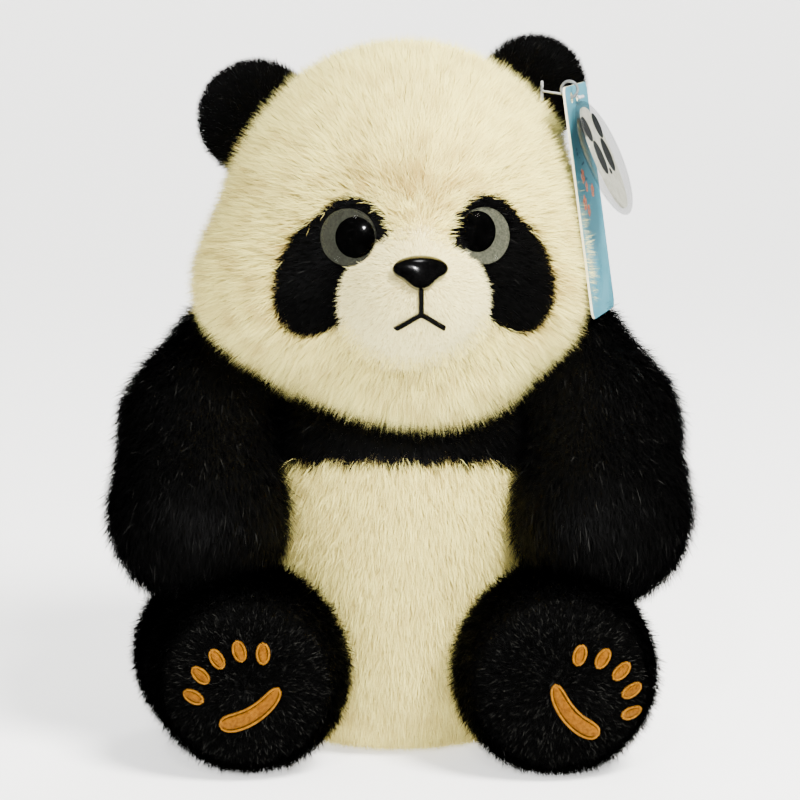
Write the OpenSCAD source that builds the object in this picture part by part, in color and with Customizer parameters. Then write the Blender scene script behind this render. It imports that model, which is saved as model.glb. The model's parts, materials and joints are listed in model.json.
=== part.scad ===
// Sitting plush panda: fur-fabric skins over fibre filling, with plastic eyes and nose, a hang tag and a charm.
// Millimetres, +Z up. The origin is the middle of the flat seat, and the face looks along -Y.
// Left and right are the viewer's, from the front.

/* [Body] */
// Widest radius of the torso
torso_r = 54; // [48:1:56]
// Height of the torso's top edge
torso_top = 131; // [126:1:133]
// Height at which the torso is widest
torso_wide_z = 45; // [40:1:50]
// Radius of the flat seat
seat_r = 37; // [30:1:40]
// How far the torso's axis lies behind the neck
torso_y = 5; // [2:1:6]
// Half the width between the flat sides that the arms lie against
side_flat = 45; // [42:1:46]
// Height of the seam under the black shoulder band
yoke_z = 102; // [96:1:106]
// Thickness of the fur fabric with its backing
fabric = 2; // [1.5:0.1:2.2]

/* [Head] */
// Radius of the head
head_r = 61.5; // [59:0.5:62]
// Height of the head's centre
head_z = 175; // [173:1:178]
// How far the face is turned to the viewer's right
head_yaw = 5.5; // [0:0.5:10]
// How far the crown seam lies behind the head's centre
crown_seam_y = 6; // [2:1:9]
// Radius of the neck's ball of filling
neck_r = 24; // [22:0.5:25]
// Height of the neck's bending centre
neck_z = 128; // [126:1:130]
// Radius of the muzzle
muzzle_r = 25; // [23:0.5:26]
// Eye's distance from the middle of the face
eye_x = 23; // [21:0.5:25]
// Eye's height above the head's centre
eye_z = 6; // [3:0.5:7]
// Radius of an eye
eye_r = 9.5; // [8.5:0.1:10]
// Radius of a pupil
pupil_r = 6.6; // [5.5:0.1:7]
// Radius of an ear
ear_r = 17; // [15:0.5:18]
// Greatest thickness of an ear
ear_t = 13; // [10:0.5:14]

/* [Limbs] */
// Radius of an arm
arm_r = 27; // [25:0.5:27.5]
// Radius of a hip
hip_r = 30; // [28:0.5:31]
// Radius of a foot
foot_r = 29.5; // [26:0.5:30]
// Length of a leg from the hip's centre to the sole
leg_len = 60; // [56:1:62]
// Turn of the left leg, outward is negative
leg_yaw_left = -1; // [-6:1:4]
// Turn of the right leg, outward is positive
leg_yaw_right = 4; // [-2:1:8]

/* [Tag] */
// Width of the hang tag's card
card_w = 38; // [34:1:40]
// Height of the hang tag's card
card_h = 79; // [72:1:82]
// Thickness of the hang tag's card
card_t = 0.8; // [0.5:0.1:1]

/* [Hidden] */
$fn = 64;

black_fur = "#1a1a1c";
cream_fur = "#efe6d3";
fibre = "#f7f7f4";
gold_thread = "#c98a2b";

big = 300;              // larger than the whole toy, for cutting
slip = 0.4;             // clearance between bodies that turn on each other
neck_play = 0.3;        // clearance around the neck's ball and stem
chin_gap = 5;           // space under the head for it to nod
stem_r = 12;            // neck stem that goes down into the torso
stem_z = 88;
shoulder = [66, 3, 114];    // centre of the arm's top, on the right
paw = [69, -27, 92];        // centre of the paw
hip = [50, -20, 35];
arm_slip = 0.5;         // between the torso's flat side and the arm's
leg_lift = 10;          // how far a leg's joint raises it
thigh_step = 0.1;       // the room for the thigh is this much slimmer than the room for the hip

// Round-ended rod from a to b, turned in one piece.
module capsule(a, b, r, steps = 8) {
    run = b - a;
    low = [for (k = [0 : steps]) let (t = -90 + 90 * k / steps) [r * cos(t), r * sin(t)]];
    high = [for (k = [0 : steps]) let (t = 90 * k / steps) [r * cos(t), norm(run) + r * sin(t)]];
    translate(a)
        rotate([0, acos(run[2] / norm(run)), atan2(run[1], run[0])])
            rotate_extrude()
                polygon(concat(low, high));
}

// ---------- torso ----------

// Torso's radius at height z, from a rounded lower half and a squarer upper half.
function torso_radius(z) = z < torso_wide_z
    ? seat_r + (torso_r - seat_r) * sqrt(1 - pow(1 - z / torso_wide_z, 2))
    : torso_r * pow(1 - pow((z - torso_wide_z) / (torso_top - torso_wide_z), 4), 0.25);

// Solid of the torso, drawn in by the distance inset on every side.
module torso_solid(inset) {
    span = torso_top - 2 * inset;
    steps = 18;
    outline = [for (i = [0 : steps]) let (z = torso_top * sin(90 * i / steps))
        [max(torso_radius(z) - inset, 0), inset + z * span / torso_top]];
    difference() {
        translate([0, torso_y, 0])
            rotate_extrude()
                polygon(concat([[0, inset]], outline, [[0, inset + span]]));
        for (side = [-1, 1])
            translate([side * (side_flat - inset + big / 2), 0, 0])
                cube(big, center = true);
        translate([0, 0, head_z])
            sphere(head_r + chin_gap + inset);
        for (side = [-1, 1])
            thigh_space(side, slip + inset);
    }
}

// Room for the hip's ball, and for the thigh in front of it over the leg's whole travel.
module thigh_space(side, gap) {
    leg_frame(side)
        sphere(hip_r + gap);
    for (lift = [0, leg_lift])
        leg_frame(side, lift)
            cylinder(r = hip_r + gap - thigh_step, h = leg_len + 20);
}

// Hole in the torso for the neck's ball and stem.
module neck_hole() {
    translate([0, 0, neck_z])
        sphere(neck_r + neck_play);
    translate([0, 0, stem_z - neck_play])
        cylinder(r = stem_r + neck_play, h = neck_z - stem_z);
}

module torso_shell() {
    difference() {
        torso_solid(0);
        torso_solid(fabric);
        neck_hole();
    }
}

hem_z = 5;              // height of the seam around the seat

// Keeps what lies between two heights.
module slab(low, high) {
    translate([-big / 2, -big / 2, low])
        cube([big, big, high - low]);
}

// Keeps the part of the torso's side on one side of its middle planes.
module quarter(x_side, y_side) {
    wide = x_side == 0;
    translate([wide ? -big / 2 : (x_side < 0 ? -big : 0), torso_y + (y_side < 0 ? -big : 0), hem_z])
        cube([big, big, yoke_z - hem_z]);
}

module shoulder_yoke() {
    color(black_fur) intersection() {
        torso_shell();
        slab(yoke_z, big);
    }
}

module belly_panel() {
    color(cream_fur) intersection() {
        torso_shell();
        quarter(0, -1);
    }
}

module back_panel(side) {
    color(cream_fur) intersection() {
        torso_shell();
        quarter(side, 1);
    }
}

module base_panel() {
    color(cream_fur) intersection() {
        torso_shell();
        slab(-1, hem_z);
    }
}

bag_r = 26;             // bag of pellets that weights the seat
bag_h = 20;
bag_z = 4;

module bag_space(gap) {
    translate([0, torso_y + 8, bag_z - gap])
        cylinder(r = bag_r + gap, h = bag_h + 2 * gap);
}

module pellet_bag() {
    color("#d8d8d0") bag_space(0);
}

module torso_stuffing() {
    color(fibre) difference() {
        torso_solid(fabric);
        neck_hole();
        bag_space(0);
    }
}

tail_r = 12;
tail_out = 15;          // how far the tail stands out from the back
tail_z = 24;

// A bun with a flat foot, just clear of the back.
module tail_shape(inset) {
    steps = 8;
    translate([0, torso_y + torso_r + 0.4 + inset, tail_z])
        rotate([-90, 0, 0])
            rotate_extrude()
                polygon(concat([[0, 0]], [for (k = [0 : steps]) let (t = 90 * k / steps)
                    [(tail_r - inset) * cos(t), (tail_out - 2 * inset) * sin(t)]]));
}

module tail_skin() {
    color(cream_fur) difference() {
        tail_shape(0);
        tail_shape(fabric);
    }
}

module tail_stuffing() {
    color(fibre) tail_shape(fabric);
}

// ---------- neck ----------

module neck_stuffing() {
    color(fibre) {
        translate([0, 0, neck_z])
            sphere(neck_r);
        translate([0, 0, stem_z])
            cylinder(r = stem_r, h = neck_z - stem_z);
    }
}

// ---------- head ----------

module head_frame() {
    translate([0, 0, head_z])
        rotate([0, 0, head_yaw])
            children();
}

// Stands children on the head's surface at (x, z) from its centre, with their +Z pointing outward,
// their +X down the face and their +Y to the viewer's right.
module on_face(x, z) {
    y = -sqrt(head_r * head_r - x * x - z * z);
    rotate([0, acos(z / head_r), atan2(y, x)])
        translate([0, 0, head_r])
            children();
}

eye_seat = -0.9;        // height of the eye's flat seat over the head's surface
eye_base = 2.2;         // thickness of the eye's back plate
eye_dome = 5;           // height of the clear dome over the back plate
eye_shank_r = 2.5;
eye_shank_len = 12;
washer_r = 7;
washer_t = 2;
washer_z = -6;          // of the washer's outer face, under the head's surface

module each_eye() {
    for (side = [-1, 1])
        on_face(side * eye_x, eye_z)
            children();
}

// Room that an eye takes in the face.
module eye_space() {
    translate([0, 0, eye_seat])
        cylinder(r = eye_r, h = 20);
    translate([0, 0, eye_seat - eye_shank_len])
        cylinder(r = eye_shank_r, h = eye_shank_len + 1);
}

module washer_space() {
    translate([0, 0, washer_z - washer_t])
        cylinder(r = washer_r, h = washer_t);
}

module washer() {
    difference() {
        washer_space();
        translate([0, 0, washer_z - washer_t - 1])
            cylinder(r = eye_shank_r, h = washer_t + 2);
    }
}

module eye_cup(side) {
    color("#8c9088") head_frame() on_face(side * eye_x, eye_z) {
        difference() {
            translate([0, 0, eye_seat])
                cylinder(r = eye_r, h = eye_base);
            translate([0, 0, eye_seat + eye_base])
                pupil_disc(side);
        }
        translate([0, 0, eye_seat - eye_shank_len])
            cylinder(r = eye_shank_r, h = eye_shank_len + 0.5);
    }
}

pupil_t = 0.6;
pupil_in = 2.2;         // pupil's offset towards the muzzle

// The pupil is let into the back plate, so that the plate's face stays flat under the dome.
module pupil_disc(side) {
    translate([-1, -side * pupil_in, -pupil_t])
        cylinder(r = pupil_r, h = pupil_t);
}

module eye_pupil(side) {
    color("#050505") head_frame() on_face(side * eye_x, eye_z)
        translate([0, 0, eye_seat + eye_base])
            pupil_disc(side);
}

// A cap of a ball, standing on the back plate.
module eye_lens(side) {
    ball_r = (eye_r * eye_r + eye_dome * eye_dome) / (2 * eye_dome);
    color("#cfe0e4", 0.4) head_frame() on_face(side * eye_x, eye_z)
        translate([0, 0, eye_seat + eye_base])
            intersection() {
                translate([0, 0, eye_dome - ball_r])
                    sphere(ball_r);
                cylinder(r = eye_r + 1, h = eye_dome + 1);
            }
}

module eye_washers() {
    color("#e8e8e8") head_frame() each_eye() washer();
}

muzzle_at = [0, -47, -14];      // from the head's centre
muzzle_fabric = 1.6;

module muzzle_ball(inset) {
    translate(muzzle_at)
        sphere(muzzle_r - inset);
}

// The nose stands on the muzzle's upper front; its +Z points outward and its +X down.
module nose_frame() {
    translate(muzzle_at)
        rotate([0, 70, -90])
            translate([0, 0, muzzle_r])
                children();
}

nose_w = 18;
nose_h = 11.5;
nose_t = 9;
nose_shank_r = 2.5;
nose_shank_len = 8.4;
nose_washer_z = -4;

module nose_space() {
    translate([0, 0, -nose_shank_len])
        cylinder(r = nose_shank_r, h = nose_shank_len + 1);
}

module nose_washer_space() {
    translate([0, 0, nose_washer_z - washer_t])
        cylinder(r = washer_r - 1, h = washer_t);
}

module nose() {
    corner = nose_h * 0.3;
    color("#0a0a0a") head_frame() {
        difference() {
            nose_frame() hull() {
                for (side = [-1, 1])
                    translate([-nose_h / 2 + corner, side * (nose_w / 2 - corner), 0])
                        sphere(corner, $fn = 32);
                translate([nose_h / 2 - corner, 0, 0])
                    sphere(corner, $fn = 32);
                translate([-0.5, 0, nose_t / 2 - corner])
                    sphere(corner, $fn = 32);
            }
            muzzle_ball(0);
        }
        nose_frame() nose_space();
    }
}

module nose_washer() {
    color("#e8e8e8") head_frame() nose_frame() difference() {
        nose_washer_space();
        nose_space();
    }
}

// Filled ball of the head, without the neck's ball.
module head_ball(inset) {
    difference() {
        sphere(head_r - inset);
        translate([0, 0, neck_z - head_z])
            sphere(neck_r + neck_play);
    }
}

module head_shell(side) {
    head_frame() difference() {
        head_ball(0);
        sphere(head_r - fabric);
        translate([-big / 2, side < 0 ? crown_seam_y : crown_seam_y - big, -big / 2])
            cube(big);
        each_eye() eye_space();
    }
}

module head_front_skin() {
    color(cream_fur) head_shell(-1);
}

module head_back_skin() {
    color(cream_fur) head_shell(1);
}

module head_stuffing() {
    color(fibre) head_frame() difference() {
        head_ball(fabric);
        each_eye() {
            eye_space();
            washer_space();
        }
    }
}

module muzzle_skin() {
    color(cream_fur) head_frame() difference() {
        muzzle_ball(0);
        muzzle_ball(muzzle_fabric);
        sphere(head_r);
        each_eye() eye_space();
        nose_frame() nose_space();
    }
}

module muzzle_stuffing() {
    color(fibre) head_frame() difference() {
        muzzle_ball(muzzle_fabric);
        sphere(head_r);
        each_eye() eye_space();
        nose_frame() {
            nose_space();
            nose_washer_space();
        }
    }
}

patch_t = 1.4;
patch_long = 19;        // half the patch's long and short sides
patch_short = 12.5;
patch_lean = 24;        // lean of the patch's long side, outward at the bottom
patch_out = 4.5;        // the patch's middle from the eye's, outward and down
patch_down = 9;

// Oval patch of black fur that lies on the face around an eye.
module eye_patch(side) {
    color(black_fur) head_frame() difference() {
        intersection() {
            sphere(head_r + patch_t);
            on_face(side * (eye_x + patch_out), eye_z - patch_down)
                rotate([0, 0, side * patch_lean])
                    translate([0, 0, -8])
                        linear_extrude(20)
                            scale([patch_long, patch_short])
                                circle(1);
        }
        sphere(head_r);
        muzzle_ball(0);
        each_eye() eye_space();
    }
}

mouth_r = 0.9;
mouth_lip = 17;         // angles down the muzzle from the nose's middle, and out to the sides
mouth_fork = 38;
mouth_corner = 50;
mouth_side = 22;
mouth_lift = 0.8;       // keeps the straight runs of stitching clear of the round muzzle
mouth_cut = 0.93;       // share of each run that is stitched, so that the runs don't cross

// A point over the muzzle, down from the nose's middle and out to one side.
function on_muzzle(down, out) = let (fall = down - 20, r = muzzle_r + mouth_r + mouth_lift)
    [r * sin(out), -r * cos(fall) * cos(out), -r * sin(fall) * cos(out)];

module stitch(a, b) {
    mid = (a + b) / 2;
    half = (b - a) / 2 * mouth_cut;
    capsule(mid - half, mid + half - (b - a) / norm(b - a) * mouth_r, mouth_r, 3);
}

// The mouth: a short line under the nose that forks to both sides.
module mouth_stitching() {
    lip = on_muzzle(mouth_lip, 0);
    fork = on_muzzle(mouth_fork, 0);
    color("#101010") head_frame() translate(muzzle_at) {
        stitch(lip, fork);
        for (side = [-1, 1]) {
            bend = on_muzzle((mouth_fork + mouth_corner) / 2 - 2, side * mouth_side / 2);
            start = fork + (bend - fork) * 0.22;
            stitch(start, bend);
            stitch(bend, on_muzzle(mouth_corner, side * mouth_side));
        }
    }
}

// ---------- ears ----------

ear_angle = [-50, 43];      // left and right ear, from straight up
ear_out = [67, 71];         // distance of each ear's middle from the head's centre
ear_foot = 63.1;            // distance of its flat foot, just over the head's surface
ear_fabric = 1.5;

// Ear's frame: +Z points away from the head, and +Y points backwards.
module ear_frame(i) {
    head_frame()
        translate([0, crown_seam_y, 0])
            rotate([0, ear_angle[i], 0])
                children();
}

module ear_shape(i, inset) {
    steps = 12;
    r = ear_r - inset;
    t = ear_t / 2 - inset;
    outline = [for (k = [0 : steps]) [r * cos(90 - 180 * k / steps), t * sin(90 - 180 * k / steps)]];
    ear_frame(i) intersection() {
        translate([0, 0, ear_out[i]])
            rotate([90, 0, 0])
                rotate_extrude()
                    polygon(outline);
        translate([-big / 2, -big / 2, ear_foot + inset])
            cube(big);
    }
}

module ear_skin(i) {
    color(black_fur) difference() {
        ear_shape(i, 0);
        ear_shape(i, ear_fabric);
    }
}

module ear_stuffing(i) {
    color(fibre) ear_shape(i, ear_fabric);
}

// ---------- arms ----------

module arm_shape(side, inset) {
    mirror([side < 0 ? 1 : 0, 0, 0]) difference() {
        capsule(shoulder, paw, arm_r - inset);
        translate([side_flat + arm_slip + inset - big, -big / 2, -big / 2])
            cube(big);
    }
}

module arm_skin(side) {
    color(black_fur) difference() {
        arm_shape(side, 0);
        arm_shape(side, fabric);
    }
}

module arm_stuffing(side) {
    color(fibre) arm_shape(side, fabric);
}

// ---------- legs ----------

cap_depth = 22;         // depth of the rounded sole end of a leg
cap_power = 2.6;        // how square that end's corners are
sole_seam = 52;         // distance of the sole's seam from the hip
pad_t = 0.9;
pad_turn = [33, 50];    // turn of the pads' pattern on the left and right sole, outward

// Leg's frame: +Z runs from the hip through the sole, +X is the viewer's right and +Y is up.
module leg_frame(side, lift = 0) {
    translate([side * hip[0], hip[1], hip[2]])
        rotate([-lift, 0, 0])
            rotate([92, 0, side < 0 ? leg_yaw_left : leg_yaw_right])
                children();
}

// Leg drawn in by the distance inset: a ball at the hip, a taper, and a squarish cap at the sole.
module leg_solid(inset) {
    steps = 10;
    back_r = hip_r - inset;
    cap_r = foot_r - inset;
    cap_z = leg_len - cap_depth;
    back = [for (k = [0 : steps]) let (a = -90 + 90 * k / steps) [back_r * cos(a), back_r * sin(a)]];
    cap = [for (k = [0 : steps]) let (a = 90 * k / steps)
        [cap_r * pow(cos(a), 2 / cap_power), cap_z + (cap_depth - inset) * pow(sin(a), 2 / cap_power)]];
    rotate_extrude()
        polygon(concat(back, cap));
}

module leg_shell(low, high) {
    intersection() {
        difference() {
            leg_solid(0);
            leg_solid(fabric);
        }
        slab(low, high);
    }
}

module leg_skin(side) {
    color(black_fur) leg_frame(side) leg_shell(-big / 2, sole_seam);
}

module leg_sole(side) {
    color(black_fur) leg_frame(side) leg_shell(sole_seam, big);
}

module leg_stuffing(side) {
    color(fibre) leg_frame(side) leg_solid(fabric);
}

toe_count = 5;
toe_arc_r = 17;         // radius of the arc that the toes lie on
toe_arc_y = -5.5;       // height of that arc's centre
toe_step = 26;          // angle from toe to toe
toe_long = 6.6;
toe_wide = 4.2;
heel_arc_r = 24;        // radius of the curved pad's middle line
heel_arc_y = 14;        // height of that line's centre
heel_span = 56;         // angle that the pad spans
heel_wide = 6.6;        // at its thick end
heel_narrow = 4.4;
pad_shift = [2.7, 10];  // how far the left and right pattern lie towards the outer side
pad_rise = [1, -1.5];   // and above the middle

// Raised embroidery on the sole, cut from a thin layer that follows it.
module pad_layer(side) {
    foot = side < 0 ? 0 : 1;
    leg_frame(side) intersection() {
        difference() {
            leg_solid(-pad_t);
            leg_solid(0);
        }
        translate([side * pad_shift[foot], pad_rise[foot], leg_len - cap_depth])
            linear_extrude(cap_depth * 2)
                mirror([side < 0 ? 1 : 0, 0])
                    rotate(-pad_turn[foot])
                        children();
    }
}

module toe_pads(side) {
    color(gold_thread) pad_layer(side)
        for (k = [0 : toe_count - 1])
            rotate((k - (toe_count - 1) / 2) * toe_step)
                translate([0, toe_arc_y + toe_arc_r + (k % 2) * 0.4])
                    hull()
                        for (end = [-1, 1])
                            translate([0, end * (toe_long - toe_wide) / 2])
                                circle(d = toe_wide, $fn = 24);
}

// Outline of the curved pad: out along one side of its middle line and back along the other.
function heel_edge(a, sign) = let (
        share = a / heel_span + 0.5,
        half = (heel_narrow + (heel_wide - heel_narrow) * share) / 2 * pow(sin(180 * (0.06 + 0.88 * share)), 0.4))
    (heel_arc_r + sign * half) * [sin(a), -cos(a)];

module heel_pad(side) {
    steps = 14;
    angles = [for (k = [0 : steps]) heel_span * (k / steps - 0.5)];
    color(gold_thread) pad_layer(side)
        translate([0, heel_arc_y])
            polygon(concat([for (a = angles) heel_edge(-a, 1)],
                [for (k = [steps : -1 : 0]) heel_edge(-angles[k], -1)]));
}

// ---------- hang tag ----------

card_top = [60, -9, 224];       // where the card hangs from its fastener, in front of the right ear
card_yaw = -14.5;               // turn of the card about the upright
card_lean = 8;                  // the head's side holds the card's foot outward
hole_drop = 4;                  // the hole's distance below the card's top edge
card_hole_r = 1.9;
card_corner = 3;

// Card's frame: origin at its hole, +X is the card's outer face, +Y runs to the back.
module card_frame() {
    translate(card_top)
        rotate([0, 0, card_yaw])
            rotate([0, -card_lean, 0])
                children();
}

module card_outline() {
    hull()
        for (y = [-1, 1], z = [hole_drop - card_corner, hole_drop - card_h + card_corner])
            translate([z, y * (card_w / 2 - card_corner)])
                circle(card_corner, $fn = 24);
}

module tag_card() {
    color("#a9d4e8") card_frame() difference() {
        rotate([0, -90, 0])
            translate([0, 0, -card_t / 2])
                linear_extrude(card_t)
                    card_outline();
        for (y = [0, charm_y])
            translate([-5, y, 0])
                rotate([0, 90, 0])
                    cylinder(r = card_hole_r, h = 10);
    }
}

pin_r = 0.4;            // thread of clear plastic with a crossbar at each end
pin_ear = [49, 3.2, 225]; // its end against the ear's front
pin_past = 2.6;         // how far it stands past the card's hole
bar_r = 0.6;
bar_half = 3;

// A clear plastic pin that holds the card to the front of the ear.
module tag_fastener() {
    run = card_top - pin_ear;
    tip = card_top + run / norm(run) * pin_past;
    along = [-sin(card_yaw), cos(card_yaw), 0] * bar_half;
    color("#eef4f6", 0.7) union() {
        capsule(pin_ear, tip, pin_r, 3);
        capsule(pin_ear - [0, 0, bar_half], pin_ear + [0, 0, bar_half], bar_r, 3);
        capsule(tip - along, tip + along, bar_r, 3);
    }
}

charm_y = -9;           // place of the charm's hole along the card
charm_out = 2.6;        // the charm's pivot over the card's face
charm_lean = 16;        // the charm stands off the card by this angle
charm_len = 42;
charm_w = 34;
charm_t = 10;
ring_r = 2.8;
ring_t = 0.5;

module charm_pivot() {
    card_frame()
        translate([charm_out, charm_y, 0])
            rotate([0, -charm_lean, 0])
                children();
}

// Small ring through the card's second hole and over its top edge.
module charm_ring() {
    color("#c9ccd0") card_frame()
        translate([0, charm_y, ring_r])
            rotate([90, 0, 0])
                rotate_extrude()
                    translate([ring_r, 0])
                        circle(ring_t);
}

charm_drop = 1.4;       // the charm's top edge below its pivot

module charm_space(inset) {
    translate([0, 0, -charm_drop - charm_len / 2])
        scale([charm_t / 2 - inset, charm_w / 2 - inset, charm_len / 2 - inset])
            sphere(1);
}

// Clear puffed shell in two halves' shape, hollow for the printed insert.
module charm_shell() {
    color("#e4f0f4", 0.4) charm_pivot() difference() {
        charm_space(0);
        charm_space(1.2);
    }
}

// Printed card inside the clear shell.
module charm_insert() {
    color("#f4f4f0") charm_pivot() intersection() {
        charm_space(1.5);
        cube([0.8, big, big], center = true);
    }
}

shoulder_yoke();
belly_panel();
back_panel(-1);  // back_panel_left
back_panel(1);  // back_panel_right
base_panel();
torso_stuffing();
pellet_bag();
tail_skin();
tail_stuffing();
neck_stuffing();
head_front_skin();
head_back_skin();
head_stuffing();
muzzle_skin();
muzzle_stuffing();
eye_patch(-1);  // eye_patch_left
eye_patch(1);  // eye_patch_right
eye_cup(-1);  // eye_cup_left
eye_cup(1);  // eye_cup_right
eye_pupil(-1);  // eye_pupil_left
eye_pupil(1);  // eye_pupil_right
eye_lens(-1);  // eye_lens_left
eye_lens(1);  // eye_lens_right
eye_washers();
nose();
nose_washer();
mouth_stitching();
tag_fastener();
ear_skin(0);  // ear_left_skin
ear_stuffing(0);  // ear_left_stuffing
ear_skin(1);  // ear_right_skin
ear_stuffing(1);  // ear_right_stuffing
arm_skin(-1);  // arm_left_skin
arm_stuffing(-1);  // arm_left_stuffing
arm_skin(1);  // arm_right_skin
arm_stuffing(1);  // arm_right_stuffing
leg_skin(-1);  // leg_left_skin
leg_sole(-1);  // leg_left_sole
leg_stuffing(-1);  // leg_left_stuffing
toe_pads(-1);  // leg_left_toe_pads
heel_pad(-1);  // leg_left_heel_pad
leg_skin(1);  // leg_right_skin
leg_sole(1);  // leg_right_sole
leg_stuffing(1);  // leg_right_stuffing
toe_pads(1);  // leg_right_toe_pads
heel_pad(1);  // leg_right_heel_pad
tag_card();
charm_ring();
charm_shell();
charm_insert();
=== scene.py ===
"""A sitting plush panda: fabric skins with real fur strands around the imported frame."""
import itertools
import json
import math

import bmesh
import bpy
import numpy as np
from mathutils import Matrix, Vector
from mathutils.bvhtree import BVHTree


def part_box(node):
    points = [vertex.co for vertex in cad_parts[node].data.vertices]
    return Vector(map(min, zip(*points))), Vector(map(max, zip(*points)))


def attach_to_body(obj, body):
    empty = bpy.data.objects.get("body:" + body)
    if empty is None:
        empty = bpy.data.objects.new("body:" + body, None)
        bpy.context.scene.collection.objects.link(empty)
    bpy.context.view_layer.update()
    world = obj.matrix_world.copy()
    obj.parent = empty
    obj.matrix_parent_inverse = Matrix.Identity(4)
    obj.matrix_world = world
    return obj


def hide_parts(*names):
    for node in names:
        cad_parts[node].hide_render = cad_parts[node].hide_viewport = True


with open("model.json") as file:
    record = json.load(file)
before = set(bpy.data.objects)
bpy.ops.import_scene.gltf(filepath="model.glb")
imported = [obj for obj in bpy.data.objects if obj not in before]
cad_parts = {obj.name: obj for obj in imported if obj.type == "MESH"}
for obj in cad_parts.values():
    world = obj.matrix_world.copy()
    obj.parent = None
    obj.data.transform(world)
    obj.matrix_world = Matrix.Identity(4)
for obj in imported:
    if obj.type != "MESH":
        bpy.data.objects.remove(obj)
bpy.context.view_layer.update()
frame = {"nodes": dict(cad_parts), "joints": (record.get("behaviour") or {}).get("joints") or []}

MM = 0.001              # shapes are worked out in millimetres
UV_NAME = "OFBake"      # the export reads this map as it is, so fur strands share one small palette
STRANDS_PER_PIECE = 62000
DENSITY = 1.0

joints = {j["name"]: j for j in frame["joints"]}


# ---------- places, from the frame ----------

def box_mm(*nodes):
    """Lowest and highest corner of some nodes together, in millimetres."""
    corners = [np.array([list(c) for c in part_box(n)]) / MM for n in nodes]
    return np.min([c[0] for c in corners], axis=0), np.max([c[1] for c in corners], axis=0)


def middle(*nodes):
    low, high = box_mm(*nodes)
    return (low + high) / 2


def pivot(joint):
    return np.array(joints[joint]["pos_m"]) / MM


def unit(v):
    v = np.asarray(v, float)
    return v / np.maximum(np.linalg.norm(v, axis=-1, keepdims=True), 1e-9)


def right_and_up(out):
    """Level direction to the right, and the direction up, of what faces out."""
    right = unit(np.cross(out, [0, 0, 1.0]))
    right = right if right[0] > 0 else -right
    up = np.cross(right, out)
    return right, up if up[2] > 0 else -up


HEAD_LOW, HEAD_HIGH = box_mm("head_front_skin", "head_back_skin")
HEAD_R = (HEAD_HIGH[0] - HEAD_LOW[0]) / 2
HEAD = np.array([0, HEAD_LOW[1] + HEAD_R, HEAD_HIGH[2] - HEAD_R])
CROWN_SEAM_Y = 6.0
EYES = {side: middle(f"eye_lens_{side}") for side in ("left", "right")}
face_line = EYES["right"] - EYES["left"]
HEAD_YAW = math.atan2(face_line[1], face_line[0])
MUZZLE_R = 25.0
TORSO_LOW, TORSO_HIGH = box_mm("belly_panel", "back_panel_left", "back_panel_right", "shoulder_yoke")
TORSO_R = (TORSO_HIGH[1] - TORSO_LOW[1]) / 2
TORSO_Y = (TORSO_HIGH[1] + TORSO_LOW[1]) / 2
SIDE_FLAT = TORSO_HIGH[0]
YOKE_Z = box_mm("shoulder_yoke")[0][2]
TORSO_TOP = 131.0
TORSO_WIDE_Z = 45.0
SEAT_R = 27.0
BELLY_SPREAD = 7.0      # how much further than the arms' flats the belly reaches at the hips
SIDES = {"left": -1, "right": 1}
FLOOR = 0.4             # nothing soft reaches lower than this


def turn_z(v, angle):
    """Vectors turned about the upright."""
    c, s = math.cos(angle), math.sin(angle)
    v = np.asarray(v, float)
    return np.stack([v[..., 0] * c - v[..., 1] * s, v[..., 0] * s + v[..., 1] * c, v[..., 2]], axis=-1)


def to_head(p):
    """World points in the head's own directions, from its centre."""
    return turn_z(p - HEAD, -HEAD_YAW)


def from_head(p):
    return turn_z(p, HEAD_YAW) + HEAD


MUZZLE = np.array([-1.0, -47.0, -14.0])


# ---------- camera, light and floor ----------

CAMERA_DISTANCE = 1.1
CAMERA_ELEVATION = math.radians(9)
LOOK_AT = Vector((0.0, 0.0, 0.1175))
PIXELS_PER_MM = 2.86
FRAME_PIXELS = 800
SENSOR = 36.0


def camera():
    """Straight in front of the toy, a little above it."""
    data = bpy.data.cameras.new("camera")
    data.sensor_width = SENSOR
    data.lens = PIXELS_PER_MM * CAMERA_DISTANCE / MM / FRAME_PIXELS * SENSOR
    cam = bpy.data.objects.new("camera", data)
    back = Vector((0, -math.cos(CAMERA_ELEVATION), math.sin(CAMERA_ELEVATION)))
    cam.location = LOOK_AT + back * CAMERA_DISTANCE
    cam.rotation_euler = back.to_track_quat("Z", "Y").to_euler()
    bpy.context.collection.objects.link(cam)
    bpy.context.scene.camera = cam


def area_light(name, place, size, power, glossy=True, colour=(1, 1, 1)):
    data = bpy.data.lights.new(name, "AREA")
    data.shape = "DISK"
    data.size = size
    data.energy = power
    data.color = colour
    lamp = bpy.data.objects.new(name, data)
    lamp.location = place
    lamp.rotation_euler = (Vector(place) - Vector((0, 0, 0.12))).to_track_quat("Z", "Y").to_euler()
    lamp.visible_glossy = glossy
    bpy.context.collection.objects.link(lamp)


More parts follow.
